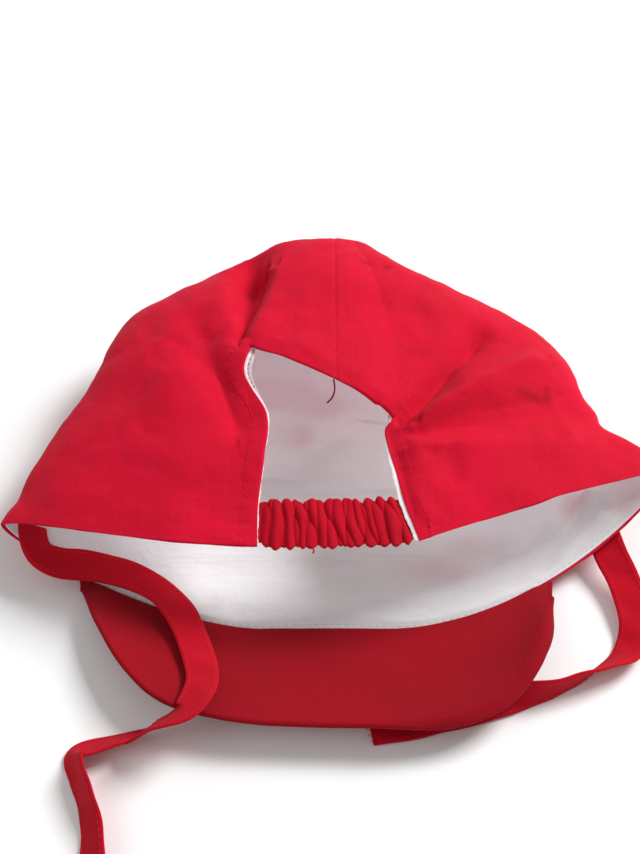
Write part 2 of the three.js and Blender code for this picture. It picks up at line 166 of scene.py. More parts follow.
# Band, peak and ties
BAND_TOP_LEFT = 0.145  # its upper edge's two ends, as shares of the way to the far end
BAND_TOP_RIGHT = 0.172
BAND_SUNK = 1.2  # of the band below the line between the opening's two sides
BAND_THICKNESS = 1.7
BAND_FOLDS = 11  # folds that lean one way, which notch the upper edge
BAND_PLEATS = 13  # and pleats that lean the other way
BAND_LEAN = 1.3  # radians of a fold's phase over the band's height
BAND_DEPTH = 1.0  # half the depth of the folds
BAND_TUCK = 1.4  # its two ends pass this far below it, under the lining's edge
BAND_OVERHANG = 1.8  # of the ruffled lower edge past the rim
TOP_RUFFLE = 0.8  # waviness of the upper edge
FOLD_NOTCH = 2.4  # how far a fold's valley cuts into the upper edge
PLEAT_NOTCH = 3.4  # and into the lower edge
BAND_THREAD = [(-5.6, 11.6, 40.2), (-5.2, 9.8, 40.0), (-4.6, 8.6, 39.2), (-4.9, 8.0, 38.2)]
BAND_INSET = 0.5  # clearance between its ends and the hem
BAND_UP = (0.0, 0.98, 0.2)  # its way up from the rim
PEAK_THICKNESS = 2.4
PEAK_END_THICKNESS = 0.9  # where it tapers into the seam at its two ends
PEAK_SETBACK = 0.95  # of its seam in front of the rim
PEAK_SAG = 1.6  # of its middle below the line from the seam to the free edge
STRIP_DROP = 2.2  # how far the bound strip along the peak's free edge bends down
PEAK_STRIP = table(("s", "width"), [
    (0.0, 0.2), (0.5, 0.2), (0.6, 1.2), (0.7, 3.2), (0.8, 4.4),
    (0.9, 4.2), (0.97, 3.0), (1.0, 1.5),
])
TIE_WIDTH = 11.5
TIE_THICKNESS = 1.0
TIE_EDGE = 1.2  # thickness over its two folded edges
TIE_STATIONS = 300
TIE_PITCH = 2.6
TIE_THREAD_RADIUS = 0.12
TIE_STITCH_LANES = (1, 11)  # of the lanes across a tie, where its stitches run
TIE_LANES = 13
FRAY_THREADS = 9
FRAY_RADIUS = 0.11
FLOOR_GAP = 0.15  # between a tie's bow and the floor
LANDING = 2  # softens the bend where a tie comes down on the floor

# Form of the crown
OPENING_TOP = 0.6  # the back opening's upper edge, as a share of the way to the far end
ARCH = 3  # rise of the cloth between the opening's two guide lines
ARCH_END = 0.17  # stretch before the far end in which that rise fades
LEFT_BEND = 1.8  # how quickly the rings curve away from a side fold, in the back
RIGHT_BEND = 1.0
LEFT_UNDER_BEND = 1.6  # and on the underside
RIGHT_UNDER_BEND = 1.8
CREASE = 0.4  # added to the left profile's power at the rim, where the corner is creased
CREASE_END = 0.25  # how far from the rim the crease reaches, as a share of the way
FOLD_CRISPNESS = 1.4  # 2 gives rounded folds, and less gives them a crease
FOLD_END = 0.8  # reach of a fold past its line's ends, as a share of its reach sideways
FOLDS_FADE = 0.12  # stretch before the far end in which the folds fade

# Rings of the crown, from the rim (t = 0) to the far end (t = 1), on six guide lines
GUIDES = ("left", "right", "open_left", "open_right", "floor_left", "floor_right")
RINGS = table(("t", *GUIDES), [
    (0.0, (-127, 37, 17), (134, 51, 32), (-26, 10.5, 40), (34.5, 11.5, 42), (-26, -1.5, 0), (26, -1.5, 0)),
    (0.14, (-118.5, 56, 20), (127, 60.5, 31.5), (-25.8, 27.5, 44), (30, 25, 45), (-58, 18, 0), (58, 18, 0)),
    (0.28, (-110, 75, 22), (110.5, 72.5, 31), (-24.2, 45, 48), (26.5, 39, 48), (-66, 38, 0), (68, 38, 0)),
    (0.41, (-102, 92, 23), (108, 83, 29.5), (-23.4, 65, 51), (24, 51, 50), (-66, 56, 0), (70, 55, 0)),
    (0.51, (-96, 107, 24), (104.5, 94, 29), (-32.5, 84, 54), (23.2, 59.5, 51), (-63, 73, 0), (68, 70, 0)),
    (0.6, (-91, 123, 25), (100.5, 107.5, 29), (-30.5, 97.5, 55), (26.5, 65, 52), (-59, 89, 0), (64, 85, 0)),
    (0.7, (-80, 141, 26), (92.5, 124.5, 28), (-27, 117, 54), (29, 90, 53), (-51, 107, 0), (56, 104, 0)),
    (0.8, (-58, 154, 26), (71.5, 140.5, 27), (-21, 139, 52), (25, 117, 53), (-40, 127, 0), (44, 125, 0)),
    (0.9, (-34, 167, 27), (40, 157.5, 27), (-12, 161, 49), (17, 153, 50), (-23, 149, 1), (27, 148, 1)),
    (0.96, (-14, 176, 27), (21, 174, 27), (-4, 174, 41), (10, 173, 41), (-10, 166, 8), (13, 165, 8)),
    (1.0, (4, 181, 28), (4, 181, 28), (4, 181, 28), (4, 181, 28), (4, 181, 28), (4, 181, 28)),
])

# Folds of the back, each along a line in plan: height (negative is a valley) and reach on the line's
# two sides, at the line's start and end. The first seven are those of the solid, the others are finer.
FOLD_COLUMNS = ("start", "end", "height", "left", "right")
FOLDS = {
    "corner valley": ((31, 63), (64, 109), (-5.5, -6), (4.5, 7), (4, 6)),
    "corner ridge": ((33, 60), (92, 103), (5, 6.5), (5, 9), (4, 9)),
    "corner hollow": ((36, 56), (96, 76), (-4, -5.5), (6, 10), (5, 8)),
    "lower ridge": ((36, 50), (94, 58), (4, 3), (6, 10), (9, 14)),
    "top pocket": ((-33, 102), (-26, 142), (-6.5, -9), (4, 11.5), (1.4, 2.2)),
    "pocket mouth": ((-33, 122), (-34, 156), (-1.5, -5), (4, 6), (5, 9)),
    "left valley": ((-55, 118), (-34, 62), (-3, -2.5), (9, 6), (9, 6)),
    "corner cleft": ((30, 63), (61, 105), (-3.4, -4.4), (3.5, 6), (1.8, 2.6)),
    "corner crest": ((38, 62), (86, 97), (2.6, 3.4), (2.6, 4.5), (6, 10)),
    "pocket edge": ((-29, 102), (-20, 146), (1.2, 1.6), (1.2, 1.6), (6, 9)),
    "pocket floor": ((-33, 114), (-29, 146), (-1.5, -3.5), (4, 11), (1.4, 2)),
    "pocket far end": ((-31, 136), (-31, 160), (-0.5, -4.5), (4, 8), (3, 9)),
    "pocket shoulder": ((-37, 108), (-43, 142), (1, 1.8), (5, 7), (2, 4)),
    "corner drop": ((22, 63), (29, 38), (-3, -0.1), (4, 4), (9, 6)),
    "corner crease": ((31, 49), (44, 46), (-0.7, -0.9), (2.4, 2.2), (3.4, 3)),
    "edge slope": ((31, 46), (37, 22), (0.3, 1.8), (7, 7), (4, 4)),
    "edge crease": ((25.5, 52), (32.5, 22), (-0.1, -0.8), (1.4, 1.6), (2, 2)),
    "right crease": ((47.5, 53), (49.5, 36), (-1.4, -1.1), (1.8, 2.2), (2.6, 2.6)),
    "crease branch": ((49, 44), (43, 35), (-0.7, -0.5), (2, 2), (1.6, 1.6)),
    "left crease": ((-47, 104), (-35, 58), (-1.7, -1.4), (5, 3.5), (11, 7.5)),
    "left facet": ((-60, 104), (-40, 82), (-2, -2.6), (5, 6), (7, 8)),
    "shoulder ridge": ((-79, 122), (-71, 88), (1.3, 0.2), (6, 6), (4, 5)),
    "shoulder valley": ((-75, 122), (-67, 90), (-1.6, -0.3), (4, 5), (6, 7)),
    "left dip": ((-60, 128), (-74, 148), (-1, -3.2), (4, 6), (4, 6)),
    "low facet": ((-100, 62), (-62, 78), (0.9, 1.3), (8, 9), (4, 5)),
    "right wrinkle": ((60, 69), (84, 79), (-0.5, -1.5), (2, 2.6), (2, 2.6)),
    "notch valley": ((106, 74), (95, 46), (-2.4, -0.8), (5, 6), (4, 6)),
    "right drape": ((60, 25), (92, 60), (-0.6, -1.8), (7, 8), (5, 5)),
    "right facet": ((84, 30), (104, 64), (0.8, 1.6), (4, 5), (7, 8)),
    "left drape": ((-92, 40), (-58, 100), (0.9, 0.7), (9, 9), (9, 9)),
    "far facet": ((34, 122), (58, 142), (-0.8, -1.4), (6, 7), (6, 7)),
    "hem pucker": ((2, 114), (6, 112), (-0.6, -0.4), (0.8, 0.8), (0.8, 0.8)),
    "hem arch": ((-12, 95), (14, 79), (2, 2), (9, 9), (12, 12)),
}

# Painted shade: darker spots on the back at small dents and creases, in plan, with their reach along x and
# y and their strength
MARK_COLUMNS = ("x", "y", "reach", "strength")
PAINTED_SHADE_SPOTS = table(MARK_COLUMNS, [
    (17.6, 148.3, (3.0, 1.6), 0.7),
    (26, 146.5, (2.6, 1.4), 0.8),
    (81, 80.5, (6, 2.3), 0.8),
    (88.5, 83, (1.9, 4), 0.8),
    (36, 96, (5, 2.6), 0.3),
    (92, 98, (1.4, 1), 0.5),
    (94, 86, (1.4, 1), 0.4),
])

# Painted pink on the lining's front wall, seen in the back opening and the mouth: red light through the
# shell and shade on its facets, the last row a small stain; and the height below which they count
PAINTED_LINING_PATCHES = table(MARK_COLUMNS, [
    (-2, 110, (10, 6), 0.95),
    (-12, 93, (6.5, 8), 0.75),
    (-22, 118, (17, 9), 0.7),
    (44, 24, (15, 7), 0.75),
    (60, 36, (14, 6), 0.5),
    (99, 49, (5, 7), 0.75),
    (120, 47, (8, 9), 0.75),
    (-43, 10, (3, 4.5), 0.4),
])
PAINTED_PATCH_TOP = 30

# Folds of the lining, which only ever stand in from the shell. Those of the front wall show most.
LINING_FOLDS = {
    "bright facet": ((106, 53), (94, 27), (8, 1.5), (8, 12), (2.4, 6)),
    "dark facet": ((108, 51), (117, 34), (6, 3.5), (2.4, 3), (4, 8)),
    "inner facet": ((88, 44), (82, 34), (4, 2), (5, 7), (3, 4)),
    "far facet": ((120, 50), (122, 40), (3, 1.5), (4, 4), (3, 3)),
    "middle ripple": ((10, 22), (50, 40), (0.8, 1.6), (7, 9), (6, 8)),
    "left ripple": ((-40, 14), (-34, 30), (0.6, 1.2), (5, 7), (5, 7)),
    "deep ripple": ((-20, 70), (14, 96), (3, 4), (9, 11), (5, 6)),
    "deep crease": ((-6, 50), (20, 62), (1.6, 2.4), (6, 8), (3, 4)),
}

# The peak, from its left end to its right end: where it meets the rim, and its free edge
PEAK = table(("s", "seam_x", "edge"), [
    (0.0, -96, (-94.5, 13.5, 5.2)),
    (0.1, -83, (-87, -4.5, 10.5)),
    (0.2, -63, (-74, -26.5, 13.5)),
    (0.3, -44, (-58, -41, 14)),
    (0.4, -23, (-33, -47.5, 13)),
    (0.5, -2, (-3, -49.5, 12.5)),
    (0.6, 20, (28, -49.5, 13)),
    (0.7, 42, (53, -46, 14)),
    (0.8, 61, (70, -35.5, 15)),
    (0.9, 76, (80.5, -18, 15.5)),
    (1.0, 88, (86.5, 6.5, 10)),
])

# Routes of the two ties. Roll turns the ribbon about its route: 0 lies flat, 90 stands on edge. A
# height of 0 stands for a stretch that lies on the floor, however it is rolled there.
ROUTE_COLUMNS = ("at", "roll")
LEFT_TIE = table(ROUTE_COLUMNS, [
    ((-115, 37.2, 15.8), -40),
    ((-114.7, 33.5, 15.4), -38),
    ((-112.8, 28.3, 14.4), -28),
    ((-109, 23.9, 13.6), -6),
    ((-103, 21.4, 12.8), 12),
    ((-95, 20.9, 12.2), 17),
    ((-86, 19.7, 11.5), 14),
    ((-76, 16.9, 10.9), 2),
    ((-66.5, 12.2, 10.2), -12),
    ((-58, 4.5, 9.6), -16),
    ((-52.5, -5, 9.3), -11),
    ((-48, -17.5, 11), -5),
    ((-45.2, -29, 14.6), 4),
    ((-45.8, -38, 18.4), 14),
    ((-49.5, -46.5, 20.4), 28),
    ((-56.3, -48.8, 17), 38),
    ((-63.5, -49, 11), 44),
    ((-72.5, -49.8, 0), 48),
    ((-83.5, -52.8, 0), 38),
    ((-90.3, -56, 0), 48),
    ((-88.3, -64.5, 0), 62),
    ((-84.5, -74, 0), 60),
    ((-81.5, -84, 0), 48),
    ((-80.2, -96, 0), 38),
    ((-79.5, -112, 0), 12),
    ((-80, -124, 0), 0),
    ((-81, -135, 0), 0),
])
RIGHT_TIE = table(ROUTE_COLUMNS, [
    ((110, 36, 10.2), 24),
    ((111.5, 28, 9.4), 22),
    ((115.5, 18, 6.8), 12),
    ((118, 5, 5), 8),
    ((117, -6, 3), 12),
    ((113, -14, 0), 30),
    ((106, -19.5, 0), 52),
    ((96, -25, 0), 76),
    ((86, -29.5, 0), 90),
    ((77, -32, 0), 106),
    ((67.5, -33.5, 0), 134),
    ((57, -35.6, 0), 162),
    ((46, -38.2, 0), 180),
    ((33, -41.8, 0), 180),
    ((16.5, -45, 0), 180),
])


def mix(a, b, u):
    return a + (b - a) * u


def unit(vectors):
    """Vectors scaled to length 1."""
    return vectors / np.maximum(np.linalg.norm(vectors, axis=-1, keepdims=True), 1e-9)


def smooth(low, high, value):
    """0 below low, 1 above high, and a smooth step between."""
    u = np.clip((np.asarray(value, float) - low) / (high - low), 0, 1)
    return u * u * (3 - 2 * u)


def along(rows, key, column, values):
    """A smooth curve through a table's rows, read at several values of the table's running key."""
    values = np.atleast_1d(np.asarray(values, float))
    keys = np.array([row[key] for row in rows], float)
    places = np.array([np.atleast_1d(row[column]) for row in rows], float)
    last = len(rows) - 1
    before = np.maximum(np.arange(last + 1) - 1, 0)
    after = np.minimum(np.arange(last + 1) + 1, last)
    slopes = (places[after] - places[before]) / (keys[after] - keys[before])[:, None]
    i = np.clip(np.searchsorted(keys, values, side="right") - 1, 0, last - 1)
    step = (keys[i + 1] - keys[i])[:, None]
    u = np.clip((values - keys[i])[:, None] / step, 0, 1)
    return (
        (2 * u**3 - 3 * u**2 + 1) * places[i]
        + (u**3 - 2 * u**2 + u) * step * slopes[i]
        + (3 * u**2 - 2 * u**3) * places[i + 1]
        + (u**3 - u**2) * step * slopes[i + 1]
    )


def fold_lift(folds, x, y):
    """How far a table's folds lift the cloth at points in plan."""
    lift = np.zeros_like(x)
    for row in folds.values():
        fold = dict(zip(FOLD_COLUMNS, row))
        start = np.array(fold["start"], float)
        line = np.array(fold["end"], float) - start
        length = math.hypot(*line)
        ahead = ((x - start[0]) * line[0] + (y - start[1]) * line[1]) / length**2
        aside = ((y - start[1]) * line[0] - (x - start[0]) * line[1]) / length
        share = np.clip(ahead, 0, 1)
        reach = np.where(aside > 0, mix(*fold["left"], share), mix(*fold["right"], share))
        past = np.abs(ahead - share) * length
        fade = np.exp(-((np.abs(aside) / reach) ** FOLD_CRISPNESS) - (past / (FOLD_END * reach)) ** 2)
        lift += mix(*fold["height"], share) * fade
    return lift


def rumple(points, size, seed, octaves=2):
    """Smooth noise from -1 to 1 at points, with features of about the given size in millimetres."""
    shift = Vector((seed * 7.3, seed * 3.1, seed * 5.7))
    flat = points.reshape(-1, 3) / size
    values = [noise.fractal(Vector(p) + shift, 0.6, 2.0, octaves) for p in flat]
    return np.array(values).reshape(points.shape[:-1])


def curl(fold, inner, way, bend, power):
    """From a side fold towards an inner guide line, in the manner of a quarter of an ellipse."""
    quarter = way * math.pi / 2
    return np.stack([
        mix(fold[:, 0], inner[:, 0], 1 - math.cos(quarter)),
        mix(inner[:, 1], fold[:, 1], math.cos(quarter) ** bend),
        mix(fold[:, 2], inner[:, 2], np.full(len(fold), math.sin(quarter)) ** power),
    ], axis=1)


def crown_lanes():
    """Lanes round the crown as (span, way across it), closer together beside hems and seams."""
    spans = [
        ("left_back", np.concatenate([np.linspace(0, 0.88, 44), np.linspace(0.885, 0.995, 24)])),
        ("middle", np.concatenate([
            np.linspace(0, 0.49, 16), np.linspace(0.5, 0.72, 26), np.linspace(0.74, 1, 9),
        ])),
        ("right_back", np.concatenate([np.linspace(0.005, 0.11, 24), np.linspace(0.12, 0.99, 44)])),
        ("right_under", np.linspace(0, 0.985, 38)),
        ("floor", np.concatenate([
            np.linspace(0, 0.42, 6), np.linspace(0.45, 0.55, 9), np.linspace(0.6, 0.94, 5),
        ])),
        ("left_under", np.linspace(0, 0.985, 38)),
    ]
    return [(span, float(way)) for span, ways in spans for way in ways]


def crown_rings():
    """Rings from the rim to the far end, closer together at the rim and above the back opening."""
    top = OPENING_TOP + 0.08
    return np.concatenate([
        np.linspace(0, 0.028, 8), np.linspace(0.035, OPENING_TOP, 78),
        np.linspace(OPENING_TOP + 0.004, top, 18),
        mix(top, 1, np.sin(np.linspace(0.02, 1, 50) * math.pi / 2) ** 0.92),
    ])


def crown_surface(t, lanes):
    """The crown's outer face with its folds, as rings by lanes by xyz."""
    guide = {name: along(RINGS, "t", name, t) for name in GUIDES}
    creased = 1 + CREASE * np.clip(1 - t / CREASE_END, 0, 1)
    arching = ARCH * 4 * np.clip((1 - t) / ARCH_END, 0, 1)
    fading = np.clip((1 - t) / FOLDS_FADE, 0, 1)
    columns = []
    for span, w in lanes:
        if span == "left_back":
            column = curl(guide["left"], guide["open_left"], w, LEFT_BEND, creased)
            from_fold = math.sin(w * math.pi / 2)
        elif span == "middle":
            column = mix(guide["open_left"], guide["open_right"], w)
            column[:, 2] += arching * w * (1 - w)
            from_fold = 1
        elif span == "right_back":
            column = curl(guide["right"], guide["open_right"], 1 - w, RIGHT_BEND, 1)
            from_fold = math.cos(w * math.pi / 2)
        elif span == "right_under":
            column = curl(guide["right"], guide["floor_right"], w, RIGHT_UNDER_BEND, 1)
            from_fold = 0
        elif span == "floor":
            column = mix(guide["floor_right"], guide["floor_left"], w)
            from_fold = 0
        else:
            column = curl(guide["left"], guide["floor_left"], 1 - w, LEFT_UNDER_BEND, 1)
            from_fold = 0
        if from_fold:
            column[:, 2] += fold_lift(FOLDS, column[:, 0], column[:, 1]) * from_fold * fading
        else:
            column[:, 2] = np.maximum(column[:, 2], 0)
        columns.append(column)
    return np.stack(columns, axis=1)


def normals_of(points, closed=False):
    """Unit normals of a grid of points, on the side of lane direction times ring direction."""
    if closed:
        across = np.roll(points, -1, axis=1) - np.roll(points, 1, axis=1)
    else:
        across = np.gradient(points, axis=1)
    onward = np.gradient(points, axis=0)
    normal = np.cross(across, onward)
    size = np.linalg.norm(normal, axis=2, keepdims=True)
    return np.where(size > 1e-9, normal / np.maximum(size, 1e-9), [0, 1, 0])


def lengths_along(points, axis):
    """Cumulative length of the grid lines along an axis."""
    steps = np.linalg.norm(np.diff(points, axis=axis), axis=2)
    first = np.zeros_like(np.take(steps, [0], axis=axis))
    return np.cumsum(np.concatenate([first, steps], axis=axis), axis=axis)


def metres(points):
    """From the tables' millimetres to the model's frame."""
    return (np.asarray(points, float) - (0, REST_Y, 0)) * MM


def new_object(name, vertices, faces, material, uvs=None):
    """A smooth-shaded mesh object from points in table millimetres, riding with the cap's body."""
    mesh = bpy.data.meshes.new(name)
    vertices[:, 2] = np.maximum(vertices[:, 2], 0)
    mesh.from_pydata(metres(vertices).tolist(), [], faces)
    if uvs is not None:
        layer = mesh.uv_layers.new(name="cloth")
        layer.data.foreach_set("uv", (np.asarray(uvs, np.float32) * MM).ravel())
    mesh.polygons.foreach_set("use_smooth", [True] * len(mesh.polygons))
    mesh.materials.append(material)
    mesh.update()
    piece = bpy.data.objects.new(name, mesh)
    bpy.context.scene.collection.objects.link(piece)
    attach(piece, BODY)
    return piece


def cloth(name, outer, inner, material, closed=False, kept=None, rounds=1, pole=False):
    """A closed piece of cloth between two grids of points, with rounded edges.

    kept tells which cells have cloth, and rounds is the number of lines that round an edge.
    """
    rows, columns = outer.shape[:2]
    cells = columns if closed else columns - 1
    if kept is None:
        kept = np.ones((rows - 1, cells), bool)
    vertices = [*outer.reshape(-1, 3), *inner.reshape(-1, 3)]
    count = rows * columns
    loops = np.concatenate([outer, outer[:, :1]], axis=1) if closed else outer
    u = lengths_along(loops, 1)
    u -= u[:, u.shape[1] // 4][:, None]
    v = lengths_along(loops, 0)
    faces = []
    uvs = []

    def has(r, c):
        c = c % cells if closed else c
        return 0 <= r < rows - 1 and 0 <= c < cells and kept[r, c]

    def face(corners, places):
        faces.append(corners)
        uvs.extend((u[r, c], v[r, c]) for r, c in places)

    def id_of(place):
        return place[0] * columns + place[1] % columns

    borders = []
    for r in range(rows - 1):
        for c in range(cells):
            if not kept[r, c]:
                continue
            at_pole = pole and r == rows - 2
            corners = [(r, c), (r, c + 1), (r + 1, c + 1), (r + 1, c)]
            loop = corners[:3] if at_pole else corners
            ids = [id_of(p) for p in loop]
            if at_pole:
                ids[2] = id_of((r + 1, 0))
            face(ids, loop)
            face([i + count for i in reversed(ids)], loop[::-1])
            beside = [(r - 1, c), (r, c + 1), (r + 1, c), (r, c - 1)]
            for side, other in enumerate(beside):
                if not has(*other) and not (at_pole and side == 2):
                    borders.append((corners[side], corners[(side + 1) % 4], (r, c)))

    outward = {}
    for a, b, (r, c) in borders:
        middle = (outer[a[0], a[1] % columns] + outer[b[0], b[1] % columns]) / 2
        ids = [(r, c), (r + 1, c), (r, c + 1), (r + 1, c + 1)]
        centre = sum(outer[i, j % columns] for i, j in ids) / 4
        direction = unit(middle - centre)
        for place in (a, b):
            outward[id_of(place)] = outward.get(id_of(place), 0) + direction
    rounded = {}
    for key, direction in outward.items():
        top = vertices[key]
        bottom = vertices[key + count]
        half = (top - bottom) / 2
        direction = unit(direction)
        chain = [key]
        for k in range(1, rounds + 1):
            turn = math.pi * k / (rounds + 1)
            place = (top + bottom) / 2 + half * math.cos(turn)
            vertices.append(place + direction * np.linalg.norm(half) * math.sin(turn))
            chain.append(len(vertices) - 1)
        rounded[key] = chain + [key + count]
    for a, b, _ in borders:
        first = rounded[id_of(a)]
        second = rounded[id_of(b)]
        for k in range(rounds + 1):
            face([second[k], first[k], first[k + 1], second[k + 1]], [b, a, a, b])

    used = sorted({i for f in faces for i in f})
    new_id = {old: new for new, old in enumerate(used)}
    faces = [[new_id[i] for i in f] for f in faces]
    return new_object(name, np.array([vertices[i] for i in used]), faces, material, uvs)


def rings_mesh(name, tubes, material, with_uvs=True):
    """Closed tubes of changing section in one mesh: each is stations by section points by xyz."""
    vertices = []
    faces = []
    uvs = []
    for sections in tubes:
        stations, sides = sections.shape[:2]
        start = len(vertices)
        vertices.extend(sections.reshape(-1, 3))
        loop = np.concatenate([sections, sections[:, :1]], axis=1)
        u = lengths_along(loop, 1)
        v = lengths_along(loop, 0)
        for i in range(stations - 1):
            for k in range(sides):
                corners = [(i, k), (i, k + 1), (i + 1, k + 1), (i + 1, k)]
                faces.append([start + r * sides + c % sides for r, c in corners])
                uvs.extend((u[r, c], v[r, c]) for r, c in corners)
        for i, order in ((0, -1), (stations - 1, 1)):
            faces.append([start + i * sides + k for k in range(sides)][::order])
            uvs.extend([(u[i, k], v[i, k]) for k in range(sides)][::order])
    return new_object(name, np.array(vertices), faces, material, uvs if with_uvs else None)


def thread_piece(name, tubes, material):
    """Stitches or loose threads as one piece."""
    rings_mesh(name, tubes, material, with_uvs=False)


def section(centre, across, up, half_width, half_height, sides, power=1.0):
    """A flattened ring of points about a centre: an ellipse, or squarer with a lower power."""
    turns = np.arange(sides) * 2 * math.pi / sides
    ring = []
    for turn in turns:
        x = math.copysign(abs(math.cos(turn)) ** power, math.cos(turn))
        y = math.copysign(abs(math.sin(turn)) ** power, math.sin(turn))
        ring.append(centre + across * half_width * x + up * half_height * y)
    return np.array(ring)


def tube(path, radius, sides=6):
    """Sections of a round thread along a path, thinner at its two ends."""
    path = np.asarray(path, float)
    onward = unit(np.gradient(path, axis=0))
    sections = []
    for i, (place, ahead) in enumerate(zip(path, onward)):
        aside = unit(np.cross(ahead, TUBE_ASIDE))
        fat = radius * (0.5 if i in (0, len(path) - 1) else 1.0)
        sections.append(section(place, aside, np.cross(ahead, aside), fat, fat, sides))
    return np.array(sections)


# Materials

def node(tree, kind, inputs=None, **settings):
    """A new shader node with its settings and inputs; an input that is a socket is linked."""
    made = tree.nodes.new(kind)
    for key, value in settings.items():
        setattr(made, key, value)
    for key, value in (inputs or {}).items():
        if isinstance(value, bpy.types.NodeSocket):
            tree.links.new(value, made.inputs[key])
        else:
            made.inputs[key].default_value = value
    return made


def new_material(name):
    """A material with an empty node tree."""
    material = bpy.data.materials.new(name)
    material.use_nodes = True
    material.node_tree.nodes.clear()
    return material, material.node_tree


def add_shader(tree, inputs):
    """The surface's shader, and the output that it feeds."""
    shader = node(tree, "ShaderNodeBsdfPrincipled", inputs)
    output = node(tree, "ShaderNodeOutputMaterial")
    tree.links.new(shader.outputs["BSDF"], output.inputs["Surface"])


def mixed(tree, factor, a, b, kind="RGBA"):
    """A blend of two colours, or of two numbers, by a factor."""
    first, second, out = (6, 7, 2) if kind == "RGBA" else (2, 3, 0)
    return node(tree, "ShaderNodeMix", {0: factor, first: a, second: b}, data_type=kind).outputs[out]


def scaled(tree, place, scale):
    """A place multiplied by a number for each axis."""
    return node(tree, "ShaderNodeMapping", {"Vector": place, "Scale": scale}).outputs["Vector"]


def spread(tree, value, low=MIDDLE_OF_NOISE[0], high=MIDDLE_OF_NOISE[1]):
    """A number from the middle of a noise's range spread over 0 to 1."""
    limits = {"Value": value, "From Min": low, "From Max": high}
    return node(tree, "ShaderNodeMapRange", limits).outputs["Result"]


def noise_of(tree, place, size, detail=2.0, rough=0.5, distortion=0.0):
    """Noise with features of a given size in millimetres."""
    return node(tree, "ShaderNodeTexNoise", {
        "Vector": place, "Scale": 1 / (size * MM), "Detail": detail, "Roughness": rough,
        "Distortion": distortion,
    }).outputs["Fac"]


def woven_cloth(name, tones, crumple=0.5, painted_light_shade=None, painted_glow=0.0):
    """Plain-woven cotton: threads, slubs, soft wrinkles and uneven dye.

    The colour of painted light and shade colours a marked area. The painted glow stands for the light that
    comes through the cloth in another.
    """
    material, tree = new_material(name)
    place = node(tree, "ShaderNodeTexCoord").outputs["Object"]
    flat = node(tree, "ShaderNodeUVMap", uv_map="cloth").outputs["UV"]
    threads = scaled(tree, flat, (1 / THREAD_PITCH, 1 / THREAD_PITCH, 1))
    over = node(tree, "ShaderNodeTexChecker", {"Vector": threads, "Scale": 1.0}).outputs["Fac"]
    waves = {"Vector": threads, "Scale": WAVE_PER_UNIT}
    warp = node(tree, "ShaderNodeTexWave", waves, bands_direction="X").outputs["Fac"]
    weft = node(tree, "ShaderNodeTexWave", waves, bands_direction="Y").outputs["Fac"]
    weave = mixed(tree, over, warp, weft, "FLOAT")

    mottle = spread(tree, noise_of(tree, place, MOTTLE_SIZE, 3.0))
    warp_slubs = noise_of(tree, scaled(tree, flat, (3.0, 0.06, 1)), SLUB_SIZE, 1.0)
    weft_slubs = noise_of(tree, scaled(tree, flat, (0.06, 3.0, 1)), SLUB_SIZE, 1.0)
    slubs = spread(tree, mixed(tree, 0.5, warp_slubs, weft_slubs, "FLOAT"), 0.38, 0.62)
    tone = mixed(tree, 0.35, mottle, slubs, "FLOAT")
    colour = mixed(tree, tone, *((*tone_of, 1) for tone_of in tones))
    # Painted light and shade: the marked area's colour is mixed towards a given colour
    if painted_light_shade is not None:
        strength = node(tree, "ShaderNodeAttribute", attribute_name="painted_light_shade").outputs["Fac"]
        painted_light_shade_mix = node(tree, "ShaderNodeMath", {0: strength, 1: mixed(tree, mottle, 0.7, 1.0, "FLOAT")},
                      operation="MULTIPLY").outputs[0]
        colour = mixed(tree, painted_light_shade_mix, colour, (*painted_light_shade, 1))
    # Painted shade: darker colour in the gaps between threads
    thread_gap_shade = mixed(tree, weave, 0.86, 1.0, "FLOAT")
    colour = node(tree, "ShaderNodeMix", {0: 1.0, 6: colour, 7: thread_gap_shade},
                  data_type="RGBA", blend_type="MULTIPLY").outputs[2]

    coarse = noise_of(tree, place, WRINKLE_SIZE, 2.0, 0.5, 0.7)
    fine = noise_of(tree, place, WRINKLE_SIZE / 3.5, 2.0, 0.55, 0.4)
    wrinkles = mixed(tree, 0.3, coarse, fine, "FLOAT")
    bumped = node(tree, "ShaderNodeBump", {
        "Height": wrinkles, "Strength": crumple, "Distance": WRINKLE_RISE,
    })
    woven = node(tree, "ShaderNodeBump", {
        "Height": weave, "Strength": 0.6, "Distance": THREAD_RISE, "Normal": bumped.outputs["Normal"],
    })
    rough = mixed(tree, mottle, 0.78, 0.9, "FLOAT")
    # Painted glow: emission on the marked area, standing in for light that comes through the cloth
    painted_glow_emission = (0, 0, 0, 1)
    if painted_glow:
        painted_glow_mask = node(tree, "ShaderNodeAttribute", attribute_name="painted_glow").outputs["Fac"]
        painted_glow_emission = mixed(tree, painted_glow_mask, painted_glow_emission, PAINTED_GLOW_COLOUR)
    add_shader(tree, {
        "Base Color": colour, "Roughness": rough, "Normal": woven.outputs["Normal"],
        "Specular IOR Level": 0.14, "Sheen Weight": 0.03, "Sheen Roughness": 0.5,
        "Sheen Tint": (1.0, 0.7, 0.75, 1), "Emission Strength": painted_glow, "Emission Color": painted_glow_emission,
    })
    return material


def sewing_thread(name, tones):
    """Twisted cotton thread with a slight lustre."""
    material, tree = new_material(name)
    place = node(tree, "ShaderNodeTexCoord").outputs["Object"]
    fibres = spread(tree, noise_of(tree, place, FIBRE_SIZE, 1.0))
    colour = mixed(tree, fibres, *((*tone, 1) for tone in tones))
    add_shader(tree, {"Base Color": colour, "Roughness": 0.7, "Specular IOR Level": 0.2})
    return material


# Camera, light and floor

def make_camera():
    data = bpy.data.cameras.new("camera")
    data.sensor_fit = "VERTICAL"
    data.sensor_height = SENSOR_MM
    data.lens = SENSOR_MM * FOCAL_PX / PHOTO_TALL_PX
    camera = bpy.data.objects.new("camera", data)
    camera.location = CAMERA_PLACE
    camera.rotation_euler = (math.radians(90 - CAMERA_DOWN), 0, 0)
    bpy.context.scene.collection.objects.link(camera)
    bpy.context.scene.camera = camera


